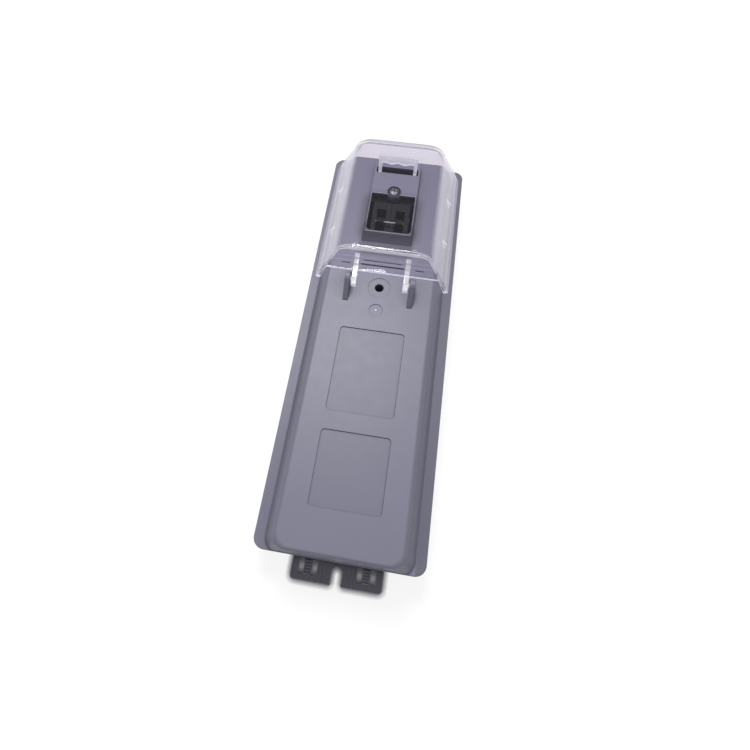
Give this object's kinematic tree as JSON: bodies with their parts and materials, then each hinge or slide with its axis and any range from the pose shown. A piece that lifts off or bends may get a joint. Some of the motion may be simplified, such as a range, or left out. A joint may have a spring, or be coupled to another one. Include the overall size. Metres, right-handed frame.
{
  "type": "meter socket enclosure",
  "caption": "Long moulded enclosure with a dark tray, a grey domed cover, a hinged clear hood over a breaker window, and an inner meter socket and breaker.",
  "frame": {"origin": "middle of the tray's flat back face, under the middle of the cover's flange", "axes": "+Z out of the front, +Y up the wall towards the hood, +X to the right seen from the front"},
  "size_m": [0.136, 0.417, 0.0915],
  "materials": {
    "tray_plastic": "semi-gloss charcoal moulding",
    "cover_plastic": "semi-matt grey moulding with a fine texture",
    "clear_polycarbonate": "clear polished polycarbonate",
    "gasket_rubber": "matt black rubber",
    "grommet_rubber": "matt black rubber",
    "zinc_steel": "zinc-plated steel",
    "bright_steel": "bright nickel-plated steel",
    "brass_parts": "turned brass",
    "breaker_plastic": "black thermoset moulding",
    "toggle_plastic": "dark grey moulding",
    "latch_plastic": "natural nylon",
    "socket_plastic": "dark grey thermoset moulding",
    "neutral_plastic": "blue moulding",
    "brown_insulation": "brown PVC insulation",
    "blue_insulation": "blue PVC insulation"
  },
  "bodies": {
    "base": {"base_tray": "tray_plastic", "rim_gasket": "gasket_rubber", "cable_grommets": "grommet_rubber", "din_rail": "zinc_steel", "rail_screws": "zinc_steel", "pole_left": "breaker_plastic", "pole_right": "breaker_plastic", "pole_rivets": "zinc_steel", "toggle_pin": "zinc_steel", "terminal_cages": "zinc_steel", "terminal_screws": "brass_parts", "cover_bridge": "tray_plastic", "bridge_screws": "brass_parts", "upper_insert": "brass_parts", "lower_insert": "brass_parts", "socket_block": "socket_plastic", "socket_jaws": "brass_parts", "jaw_screws": "zinc_steel", "socket_screws": "zinc_steel", "neutral_carrier": "neutral_plastic", "neutral_bar": "brass_parts", "neutral_screws": "zinc_steel", "line_link": "brown_insulation", "neutral_link": "blue_insulation"},
    "toggles": {"toggle_left": "toggle_plastic", "toggle_right": "toggle_plastic", "toggle_tie": "zinc_steel"},
    "rail_latch": {"rail_latches": "latch_plastic"},
    "cover": {"front_cover": "cover_plastic", "screw_seal": "gasket_rubber", "screw_retainers": "latch_plastic"},
    "hood": {"clear_hood": "clear_polycarbonate"},
    "top_screw": {"upper_screw": "bright_steel"},
    "bottom_screw": {"lower_screw": "bright_steel"}
  },
  "joints": [
    {"name": "hood_hinge", "type": "hinge", "parent": "cover", "child": "hood", "pos_m": [0, 0.03, 0.0745], "axis": [1, 0, 0], "range_deg": [0, 160]},
    {"name": "toggle_throw", "type": "hinge", "parent": "base", "child": "toggles", "pos_m": [0, 0.105, 0.0565], "axis": [-1, 0, 0], "range_deg": [0, 48]},
    {"name": "rail_latch_slide", "type": "slide", "parent": "base", "child": "rail_latch", "axis": [0, -1, 0], "range_m": [0, 0.0035]},
    {"name": "cover_lift", "type": "slide", "parent": "base", "child": "cover", "axis": [0, 0, 1], "range_m": [0, 0.12]},
    {"name": "upper_screw_turn", "type": "hinge", "parent": "cover", "child": "top_screw", "pos_m": [0, 0.1355, 0.067], "axis": [0, 0, 1], "continuous": true},
    {"name": "lower_screw_turn", "type": "hinge", "parent": "cover", "child": "bottom_screw", "pos_m": [0, 0.03, 0.034], "axis": [0, 0, 1], "continuous": true}
  ]
}
